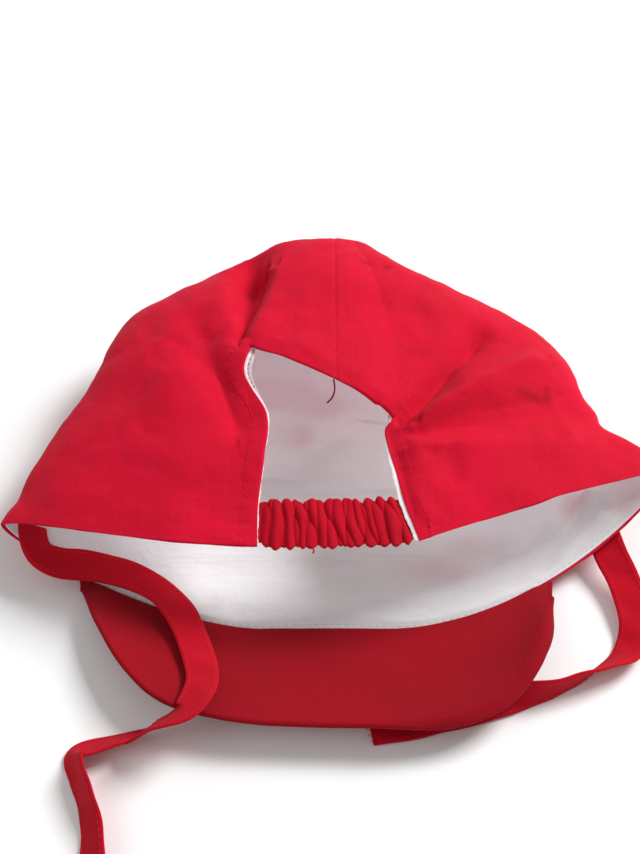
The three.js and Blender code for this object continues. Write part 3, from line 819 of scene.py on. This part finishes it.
def area_light(name, place, size, power):
    """A square soft light that looks at the middle of the cap."""
    data = bpy.data.lights.new(name, "AREA")
    data.size = size
    data.energy = power
    light = bpy.data.objects.new(name, data)
    light.location = place
    towards = Vector(LIGHTS_AIM) - Vector(place)
    light.rotation_euler = towards.to_track_quat("-Z", "Y").to_euler()
    bpy.context.scene.collection.objects.link(light)


def make_studio():
    """A pale floor under plain soft light."""
    scene = bpy.context.scene
    scene.view_settings.view_transform = "Standard"
    world = bpy.data.worlds.new("sky")
    world.use_nodes = True
    sky = world.node_tree.nodes["Background"]
    sky.inputs["Color"].default_value = (1, 1, 1, 1)
    sky.inputs["Strength"].default_value = SKY_STRENGTH
    scene.world = world
    area_light("key", KEY_PLACE, KEY_SIZE, KEY_POWER)
    area_light("fill", FILL_PLACE, FILL_SIZE, FILL_POWER)
    half = FLOOR_SIZE / 2
    corners = [(-half, -half), (half, -half), (half, half), (-half, half)]
    mesh = bpy.data.meshes.new("floor")
    mesh.from_pydata([(x, y, -FLOOR_BELOW) for x, y in corners], [], [(0, 1, 2, 3)])
    material = bpy.data.materials.new("floor")
    material.use_nodes = True
    shader = material.node_tree.nodes["Principled BSDF"]
    shader.inputs["Base Color"].default_value = (*FLOOR_COLOUR, 1)
    shader.inputs["Roughness"].default_value = 0.9
    shader.inputs["Specular IOR Level"].default_value = 0.1
    mesh.materials.append(material)
    floor = bpy.data.objects.new("floor", mesh)
    scene.collection.objects.link(floor)


# Crown: the grid that the shell, the lining, the lips and the stitches share

def span_ids(lanes, span):
    """First and last lane of a span."""
    ids = [i for i, lane in enumerate(lanes) if lane[0] == span]
    return ids[0], ids[-1]


def fractional(values, target):
    """The place in a rising list, counted in its steps, where it reaches a target."""
    return float(np.interp(target, values, np.arange(len(values))))


def grid_at(grid, r, c):
    """A point or a number of a grid at fractional row and column."""
    r0 = min(int(r), grid.shape[0] - 2)
    c0 = min(int(c), grid.shape[1] - 2)
    u, v = r - r0, c - c0
    near = mix(grid[r0, c0], grid[r0, c0 + 1], v)
    far = mix(grid[r0 + 1, c0], grid[r0 + 1, c0 + 1], v)
    return mix(near, far, u)


class Crown:
    """The crown's outer surface in the tables' frame, with distances to its edges along the cloth."""

    def __init__(self):
        self.lanes = crown_lanes()
        self.t = crown_rings()
        self.base = crown_surface(self.t, self.lanes)
        self.normal = normals_of(self.base, closed=True)
        self.first, self.last = span_ids(self.lanes, "middle")
        self.top = int(np.argmin(np.abs(self.t - OPENING_TOP)))
        self.up = lengths_along(self.base, 0)
        around = lengths_along(self.base, 1)
        self.left_out = around[:, [self.first]] - around
        self.right_out = around - around[:, [self.last]]
        self.side_out = np.maximum(np.maximum(self.left_out, self.right_out), 0)
        self.top_out = np.maximum(self.up - self.up[self.top], 0)
        self.around = around
        self.opening = np.maximum(self.side_out / HEM_WIDTH, self.top_out / TOP_HEM_WIDTH)
        self.is_back = np.array([span in ("left_back", "middle", "right_back") for span, _ in self.lanes])
        cells = np.ones((len(self.t) - 1, len(self.lanes)), bool)
        cells[: self.top, self.first:self.last] = False
        self.kept = cells
        self.outer = self.base + self.normal * self.relief()[..., None]
        self.outer[..., 2] = np.maximum(self.outer[..., 2], 0)
        from_top = np.abs(self.up - self.up[self.top])
        self.near_top = (1 - smooth(0, EDGE_BLEND, from_top)) * (1 - smooth(0, EDGE_BLEND, self.side_out))
        self.near_top *= self.is_back
        self.inner = self.base - self.normal * (SHELL_CLOTH + TOP_HEM_EXTRA * self.near_top)[..., None]

    def relief(self):
        """How far hems, seams, stitches and the cloth's own unevenness raise the outer face."""
        sideways = self.side_out / HEM_WIDTH > self.top_out / TOP_HEM_WIDTH
        run = np.where(sideways, self.up, self.around)
        width = np.where(sideways, HEM_WIDTH, TOP_HEM_WIDTH)
        from_row = (self.opening - STITCH_ROW) * width
        tight = 0.7 + 0.3 * np.sin(run * 2 * math.pi / PUCKER_PITCH + 2 * np.sin(run / 7))
        hem = HEM_STEP * (1 - smooth(STITCH_ROW, STITCH_ROW + 0.12, self.opening))
        hem -= HEM_GROOVE * tight * np.exp(-((from_row / GROOVE_WIDTH) ** 2))
        waves = np.sin(run * 2 * math.pi / (1.9 * PUCKER_PITCH) + 3 * np.sin(run / 11))
        hem += PUCKER_RISE * waves * np.exp(-((from_row / PUCKER_WIDTH) ** 2))
        hem = np.where(self.is_back, hem, 0)

        from_rim = self.up - RIM_STITCH
        rim_tight = 0.75 + 0.25 * np.sin(self.around * 2 * math.pi / PUCKER_PITCH)
        rim = -0.6 * HEM_GROOVE * rim_tight * np.exp(-((from_rim / GROOVE_WIDTH) ** 2))

        aside = self.base[..., 0] - SEAM_X
        back_seam = -SEAM_GROOVE * np.exp(-((aside / SEAM_WIDTH) ** 2))
        allowance = smooth(0, 1, aside) - smooth(SEAM_ALLOWANCE, SEAM_ALLOWANCE + 1.2, aside)
        back_seam += 0.5 * HEM_STEP * allowance
        above = (np.arange(len(self.t)) >= self.top)[:, None] & self.is_back
        floor = sum(along(RINGS, "t", side, self.t) for side in ("floor_left", "floor_right")) / 2
        under_aside = self.base[..., 0] - floor[:, [0]]
        front_seam = -SEAM_GROOVE * np.exp(-((under_aside / SEAM_WIDTH) ** 2))
        seams = np.where(above, back_seam, 0) + np.where(self.is_back, 0, front_seam)

        soft = UNDULATION * rumple(self.base, 28, 1) + FINE_UNDULATION * rumple(self.base, 9, 2)
        for seed, crease in enumerate(CREASES, start=3):
            ridged = np.hypot(rumple(self.base, crease["size"], seed, 1), CREASE_SOFTNESS) - 0.25
            soft += crease["depth"] * ridged
        return hem + rim + seams + soft

    def edge_distance(self):
        """Distance to the rim or to the back opening, along the cloth."""
        to_opening = np.hypot(self.side_out, self.top_out) + np.where(self.is_back, 0, BEYOND)
        return np.minimum(self.up, to_opening)

    def hem_line(self):
        """Fractional places of the hem's stitches: up the left, across the top, down the right."""
        side = HEM_WIDTH * STITCH_ROW
        top = TOP_HEM_WIDTH * STITCH_ROW
        first, last = self.first, self.last
        corner_rings = fractional(self.top_out[:, first], top), fractional(self.top_out[:, last], top)
        left = [
            (r, fractional(-self.left_out[r, : first + 1], -side))
            for r in range(int(corner_rings[0]) + 1)
        ]
        right = [
            (r, last + fractional(self.right_out[r, last : last + 70], side))
            for r in range(int(corner_rings[1]) + 1)
        ]
        lanes = range(int(left[-1][1]) + 1, int(right[-1][1]) + 1)
        return left, [(fractional(self.top_out[:, c], top), c) for c in lanes], right[::-1]

    def rim_line(self, lanes, back):
        """Fractional places on some lanes at one distance back from the rim."""
        return [(fractional(self.up[:, c], back), c) for c in lanes]


def follow(grid, places):
    """Points of a grid along a list of fractional places."""
    return np.array([grid_at(grid, r, c) for r, c in places])


# Stitches

def stitch_row(path, normals, pitch=STITCH_PITCH, radius=STITCH_RADIUS):
    """Short threads sunk at both ends, one after another along a line on the cloth."""
    step = np.linalg.norm(np.diff(path, axis=0), axis=1)
    run = np.concatenate([[0], np.cumsum(step)])
    count = int(run[-1] / pitch)
    half = pitch * STITCH_FILL / 2
    shape = np.array([(-1.0, 0.35), (-0.72, 0.85), (0.0, 1.0), (0.72, 0.85), (1.0, 0.35)])

    def sample(values, s):
        return np.array([np.interp(s, run, values[:, axis]) for axis in range(3)])

    tubes = []
    for k in range(count):
        s = (k + 0.5) * pitch + STITCH_WANDER * math.sin(k * 2.4)
        start, end = sample(path, s - half), sample(path, s + half)
        ahead = end - start
        length = np.linalg.norm(ahead)
        if length < half:
            continue
        ahead /= length
        up = sample(normals, s)
        up = unit(up - ahead * up.dot(ahead))
        aside = np.cross(ahead, up)
        rings = []
        for place, fat in shape:
            centre = sample(path, s + place * half) + up * radius * (0.75 - 1.3 * place**2)
            rings.append(section(centre, aside, up, radius * fat, radius * fat, 6))
        tubes.append(np.array(rings))
    return tubes


# Pieces

def make_shell(crown, material):
    shell = cloth("crown_shell", crown.outer, crown.inner, material,
                  closed=True, kept=crown.kept, rounds=3, pole=True)
    # Painted shade: darker spots at the back's small dents and creases
    mark(shell, "painted_light_shade", painted_dent_shade)
    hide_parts("crown_left", "crown_right")


def make_lining(crown, material):
    """The white lining: close to the shell at the edges, rippled in from it elsewhere. Returns the
    piece and the points of its inner face."""
    x, y = crown.base[..., 0], crown.base[..., 1]
    inside = smooth(0, SEWN_STRETCH, crown.edge_distance())
    ripple = np.maximum(fold_lift(LINING_FOLDS, x, y), 0)
    ripple = np.where(crown.is_back, BACK_RIPPLE * ripple, ripple)
    unrest = LINING_UNREST * (1 + rumple(crown.base, 17, 5)) + 0.25 * (1 + rumple(crown.base, 6, 6))
    fading = np.clip((1 - crown.t) / FOLDS_FADE, 0, 1)[:, None]
    depth = mix(LINING_EDGE_DEPTH, LINING_DEPTH + (ripple + unrest) * fading, inside)
    depth += TOP_HEM_EXTRA * crown.near_top
    setback = TOP_SETBACK * crown.near_top + RIM_SETBACK * (1 - smooth(0, EDGE_BLEND, crown.up))
    onward = unit(np.gradient(crown.base, axis=0))
    outer = crown.base - crown.normal * depth[..., None] + onward * setback[..., None]
    inner = outer - crown.normal * LINING_CLOTH
    lining = cloth("lining_cloth", outer, inner, material,
                   closed=True, kept=crown.kept, rounds=1, pole=True)
    # Painted pink on the lining, standing in for red light through the shell and for shade
    mark(lining, "painted_light_shade", painted_pink_light_and_shade)
    # Painted glow in the lining's upper part, standing in for light through the back of the cap
    mark(lining, "painted_glow", lambda x, y, z: smooth(*PAINTED_GLOW_FROM, z))
    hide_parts("lining")
    return lining, inner


def mark(piece, name, strength):
    """Gives a piece's points a named number from 0 to 1, a function of the tables' x, y and z."""
    mesh = piece.data
    places = np.empty(len(mesh.vertices) * 3)
    mesh.vertices.foreach_get("co", places)
    x, y, z = (places.reshape(-1, 3) / MM + (0, REST_Y, 0)).T
    attribute = mesh.attributes.new(name, "FLOAT", "POINT")
    attribute.data.foreach_set("value", np.clip(strength(x, y, z), 0, 1).astype(np.float32))


def painted_pink_light_and_shade(x, y, z):
    """Painted pink standing in for red light through the shell and for shade: in the lining's far half, at
    its right and in patches.
    """
    far = smooth(45, 120, y - 0.35 * np.abs(x)) * 0.6
    right = smooth(20, 110, x) * smooth(6, 26, z) * 0.35
    return far + right + marks(PAINTED_LINING_PATCHES, x, y) * (z < PAINTED_PATCH_TOP)


def marks(table, x, y):
    """The strength of a table's marks at points in plan."""
    strength = np.zeros_like(x)
    for row in table:
        reach = row["reach"]
        away = ((x - row["x"]) / reach[0]) ** 2 + ((y - row["y"]) / reach[1]) ** 2
        strength += row["strength"] * np.exp(-(away**1.5))
    return strength


def painted_dent_shade(x, y, z):
    """Painted shade: small darker spots on the back of the shell, at its dents and creases."""
    return marks(PAINTED_SHADE_SPOTS, x, y) * smooth(*PAINTED_SHADE_FROM, z)


def lip_sections(crown, lane, towards, widths, half_height, drop):
    """Sections of an edge of lining below the shell's edge, as wide as a list says at each ring."""
    sections = []
    for r in range(0, crown.top + 1):
        edge, up, across = lip_axes(crown, lane, towards, r)
        width = widths[r] + 0.15 * math.sin(r * 0.55) + 0.08 * math.sin(r * 1.7)
        half = (width + LIP_UNDER) / 2
        centre = edge + across * (width - half) - up * (half_height + drop)
        sections.append(section(centre, across, up, half, half_height, 14, 0.75))
    return np.array(sections)


def lip_axes(crown, lane, towards, ring):
    """The shell's lower edge at a ring of the opening, the way up from it and into the opening."""
    up = crown.normal[ring, lane]
    across = (crown.base[ring, crown.last] - crown.base[ring, crown.first]) * towards
    return crown.inner[ring, lane], up, unit(across - up * across.dot(up))


def make_lips(crown, material):
    """The lining's edges along the opening's two sides. Returns the stitch line on the wide facing."""
    t = crown.t[: crown.top + 1]
    for side, lane, towards in (("left", crown.first, 1), ("right", crown.last, -1)):
        roll, facing = (along(LIPS[side], "t", column, t)[:, 0] for column in ("roll", "facing"))
        rolled = lip_sections(crown, lane, towards, roll, ROLL_HALF, 0.04)
        flat = lip_sections(crown, lane, towards, facing, FACING_HALF, 0.04 + FACING_DROP)
        piece = rings_mesh("lining_lip_" + side, [rolled, flat], material)
        in_roll = rolled.shape[0] * rolled.shape[1]
        painted_light_shade = ROLL_PAINTED_PINK_SHARE[side]
        # Painted pink: part of it on the roll, all of it on the facing
        mark(piece, "painted_light_shade", lambda x, y, z: np.where(np.arange(len(x)) < in_roll, painted_light_shade, 1))
        # Painted glow on the roll, standing in for light through the cloth
        mark(piece, "painted_glow", lambda x, y, z: np.where(np.arange(len(x)) < in_roll, ROLL_PAINTED_GLOW, 0))
    wide = [r for r in range(len(t)) if WIDE_LIP[0] < t[r] < WIDE_LIP[1]]
    axes = [lip_axes(crown, crown.first, 1, r) for r in wide]
    line = [edge + across * LIP_STITCH - up * (FACING_DROP + 0.06) for edge, up, across in axes]
    return np.array(line), np.array([up for _, up, _ in axes])


def make_stitches(crown, lining_inner, lip_line, red_thread, shaded_dark_thread, pale_thread):
    """Rows of stitches along the hems, the rim, the front rim's lining and the wide lip."""
    lines = [
        *crown.hem_line(),
        crown.rim_line(range(0, crown.first), RIM_STITCH),
        crown.rim_line(range(crown.last + 1, len(crown.lanes)), RIM_STITCH),
    ]
    rows = []
    for places in lines:
        rows += stitch_row(follow(crown.outer, places), follow(crown.normal, places))
    thread_piece("hem_stitches", rows, red_thread)

    under = [c for c, is_back in enumerate(crown.is_back) if not is_back]
    front = crown.rim_line(under[:-1], FRONT_STITCH)
    front_row = stitch_row(follow(lining_inner, front), follow(-crown.normal, front))
    thread_piece("lining_stitches", front_row, pale_thread)
    lip_row = stitch_row(*lip_line, pitch=LIP_PITCH, radius=LIP_THREAD_RADIUS)
    thread_piece("lip_stitches", lip_row, shaded_dark_thread)
    thread_piece("loose_thread", [loose_thread(LOOSE_THREAD, 40)], shaded_dark_thread)


def loose_thread(points, stations):
    """A thick thread on a smooth curve through a few points."""
    return tube(smooth_path(points, stations), LOOSE_THREAD_RADIUS)


def smooth_path(points, count):
    """A smooth curve through a few points."""
    rows = [{"s": i, "at": point} for i, point in enumerate(points)]
    return along(rows, "s", "at", np.linspace(0, len(rows) - 1, count))


def make_band(material, thread):
    """The gathered casing with elastic in it: uneven folds and finer pleats, with ruffled edges."""
    up = np.linspace(0, 1, 34)[:, None]
    across = np.linspace(0, 1, BAND_PLEATS * 22 + 1)[None, :]
    left = along(RINGS, "t", "open_left", BAND_TOP_LEFT * up[:, 0])[:, None]
    right = along(RINGS, "t", "open_right", BAND_TOP_RIGHT * up[:, 0])[:, None]
    span = right - left
    inset = BAND_INSET / np.linalg.norm(span, axis=2, keepdims=True)
    start, end = left + span * inset, right - span * inset
    place = start + (end - start) * across[..., None]
    wander = 0.9 * np.sin(7.3 * across + 0.4) + 0.6 * np.sin(17 * across + 2)
    lean = wander + BAND_LEAN * (up - 0.5)
    leaning = across * BAND_FOLDS * math.pi + lean + 0.5 * np.sin(5 * up + 9 * across)
    against = across * BAND_PLEATS * math.pi - lean + 0.4 * np.sin(4 * up + 23 * across)
    fold = np.abs(np.sin(leaning)) ** 0.55
    pleat = np.abs(np.sin(against)) ** 0.6
    ends = smooth(0.02, 0.075, np.minimum(across, 1 - across))
    rise = BAND_DEPTH * (2 * fold * pleat - 1) + 0.4 * np.sin(math.pi * up)
    rise = rise * ends - (1 - ends) * BAND_TUCK - BAND_SUNK
    heave = 0.5 * np.sin(14 * across + 0.8) + 0.5 * np.sin(33 * across)
    upper = (TOP_RUFFLE * heave + FOLD_NOTCH * (fold - 1)) * smooth(0.6, 1, up)
    lower = (PLEAT_NOTCH * (1 - fold * pleat * ends) - BAND_OVERHANG * ends) * smooth(0.35, 0, up)
    place = place + np.array(BAND_UP) * (upper * ends + lower)[..., None]
    place[..., 2] += rise
    place[..., 0] += 0.35 * np.cos(2 * leaning) * ends
    half = normals_of(place) * BAND_THICKNESS / 2
    band = cloth("gathered_band", place + half, place - half, material, rounds=3)
    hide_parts("back_band")
    thread_piece("band_thread", [loose_thread(BAND_THREAD, 20)], thread)


def front_rim(x):
    """Points of the front rim at several x, found along the underside of the first ring."""
    rim = RINGS[0]
    points = []
    for value in x:
        left = value < 0
        fold = rim["left"] if left else rim["right"]
        floor = rim["floor_left"] if left else rim["floor_right"]
        bend = LEFT_UNDER_BEND if left else RIGHT_UNDER_BEND
        beyond = min(1, max(0, (value - floor[0]) / (fold[0] - floor[0])))
        drop = math.sqrt(1 - beyond**2)
        points.append((value, mix(floor[1], fold[1], beyond**bend), mix(fold[2], floor[2], drop)))
    return np.array(points)


def make_peak(material):
    """The stiffened peak, with its underside up and a bound strip along its free edge."""
    s = np.concatenate([
        np.linspace(0, 0.06, 14), np.linspace(0.07, 0.93, 130), np.linspace(0.94, 1, 14),
    ])
    out = np.concatenate([np.linspace(1, 0.86, 22), np.linspace(0.845, 0, 34)])
    seam = front_rim(along(PEAK, "s", "seam_x", s)[:, 0])
    seam[:, 1] -= PEAK_SETBACK
    edge = along(PEAK, "s", "edge", s)
    depth = np.linalg.norm(edge - seam, axis=1)
    place = seam + (edge - seam) * out[:, None, None]
    sag = PEAK_SAG * 4 * out * (1 - out)
    place[..., 2] -= sag[:, None] * np.sin(math.pi * s)
    from_edge = (1 - out)[:, None] * depth
    strip = along(PEAK_STRIP, "s", "width", s)[:, 0]
    beyond = 1 - from_edge / np.maximum(strip, 0.05)
    bound = np.clip(beyond, 0, 1)
    place[..., 2] -= STRIP_DROP * bound**1.6 * smooth(0.5, 2.5, strip)
    line = np.exp(-(((from_edge - strip) / 0.5) ** 2)) * smooth(0.5, 2.5, strip)
    place[..., 2] -= 0.3 * line
    place[..., 2] += 0.35 * rumple(place, 30, 11) + 0.12 * rumple(place, 8, 12)
    place[..., 2] = np.maximum(place[..., 2], 0.02)
    normal = normals_of(place)
    thick = mix(PEAK_END_THICKNESS, PEAK_THICKNESS, smooth(0, 0.07, np.minimum(s, 1 - s)))
    top = place + normal * thick[None, :, None]
    peak = cloth("peak_cloth", top, place, material, rounds=5)
    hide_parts("peak")


def tie_surface(route):
    """The two faces of a tie and its normals: stations along the route by lanes across it."""
    rows = [{**row, "s": i / (len(route) - 1)} for i, row in enumerate(route)]
    s = np.linspace(0, 1, TIE_STATIONS)
    centre = along(rows, "s", "at", s)
    ahead, behind = (along(rows, "s", "at", np.clip(s + step, 0, 1)) for step in (0.01, -0.01))
    onward = unit(ahead - behind)
    flat = unit(np.stack([onward[:, 1], -onward[:, 0], np.zeros(len(s))], axis=1))
    turn = np.radians(along(rows, "s", "roll", s)[:, 0])
    sin, cos = np.sin(turn)[:, None], np.cos(turn)[:, None]
    across = flat * cos + np.cross(onward, flat) * sin
    up = np.cross(onward, across)
    resting = (TIE_WIDTH * np.abs(np.sin(turn)) + TIE_EDGE * np.abs(np.cos(turn))) / 2 + FLOOR_GAP
    centre[:, 2] = (centre[:, 2] + resting + np.hypot(centre[:, 2] - resting, LANDING)) / 2
    length = np.concatenate([[0], np.cumsum(np.linalg.norm(np.diff(centre, axis=0), axis=1))])
    lanes = np.linspace(-1, 1, TIE_LANES)
    width = TIE_WIDTH / 2 * (1 + 0.035 * np.sin(length / 9) + 0.02 * np.sin(length / 3.7))
    cup = 0.3 * np.sin(length / 23 + 1)
    points = centre[:, None] + across[:, None] * (lanes[None, :] * width[:, None])[..., None]
    bow = cup[:, None] * (1 - lanes**2) + 0.14 * np.sin(length[:, None] / 2.4 + 2.5 * lanes)
    points += up[:, None] * bow[..., None]
    half = TIE_THICKNESS / 2 * (1 + 0.25 * np.exp(-((np.abs(lanes) - 0.9) / 0.12) ** 2))
    normal = normals_of(points)
    top = points + normal * half[None, :, None]
    bottom = points - normal * half[None, :, None]
    for face in (top, bottom):
        face[..., 2] = np.maximum(face[..., 2], 0.02)
    return top, bottom, normal, length[-1]


def make_tie(name, route, material, thread):
    top, bottom, normal, length = tie_surface(route)
    tie = cloth(name + "_cloth", top, bottom, material, rounds=2)
    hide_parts(name)
    rows = []
    for face, out in ((top, normal), (bottom, -normal)):
        for lane in TIE_STITCH_LANES:
            rows += stitch_row(face[:, lane], out[:, lane], TIE_PITCH, TIE_THREAD_RADIUS)
    thread_piece(name + "_stitches", rows, thread)
    return top, bottom


def make_fray(top, bottom, thread):
    """Loose threads at the cut end of the right tie."""
    threads = []
    onward = unit(top[-1].mean(axis=0) - top[-6].mean(axis=0))
    for k in range(FRAY_THREADS):
        lane = (k + 0.5) / FRAY_THREADS * (top.shape[1] - 1)
        root = (grid_at(top, top.shape[0] - 1.6, lane) + grid_at(bottom, top.shape[0] - 1.6, lane)) / 2
        reach = 1.2 + 1.5 * abs(math.sin(k * 2.7))
        sway = np.array([0.3 * math.sin(k * 5.1), 0.9 * math.sin(k * 3.3), 0.15 * math.sin(k * 1.9)])
        path = [root + onward * reach * u + sway * u**2 for u in np.linspace(0, 1, 8)]
        for place in path:
            place[2] = max(place[2], 0.1)
        threads.append(tube(path, FRAY_RADIUS, 5))
    thread_piece("tie_right_fray", threads, thread)


make_camera()
make_studio()
shell_red = woven_cloth("shell_cotton", SHELL_TONES, painted_light_shade=PAINTED_SHADE_RED)
# Painted shade: the band's and ties' cloth is a darker red than the shell's
shaded_trim_red = woven_cloth("painted_shade_trim_cotton", SHADED_TRIM_TONES, crumple=0.4)
# Painted shade: the peak's cloth is a darker red for the shadow it lies in
shaded_peak_red = woven_cloth("painted_shade_peak_cotton", SHADED_PEAK_TONES, crumple=0.15)
# The white cotton carries the painted pink and the painted glow
white = woven_cloth("white_cotton", WHITE_TONES, painted_light_shade=PAINTED_PINK, painted_glow=PAINTED_GLOW_STRENGTH)
red_thread = sewing_thread("red_thread", RED_THREAD_TONES)
shaded_dark_thread = sewing_thread("shaded_dark_thread", SHADED_DARK_THREAD_TONES)
pale_thread = sewing_thread("pale_thread", PALE_THREAD_TONES)

crown = Crown()
make_shell(crown, shell_red)
lining, lining_inner = make_lining(crown, white)
lip_line = make_lips(crown, white)
make_stitches(crown, lining_inner, lip_line, red_thread, shaded_dark_thread, pale_thread)
make_band(shaded_trim_red, red_thread)
make_peak(shaded_peak_red)
make_tie("tie_left", LEFT_TIE, shaded_trim_red, red_thread)
make_fray(*make_tie("tie_right", RIGHT_TIE, shaded_trim_red, red_thread), red_thread)
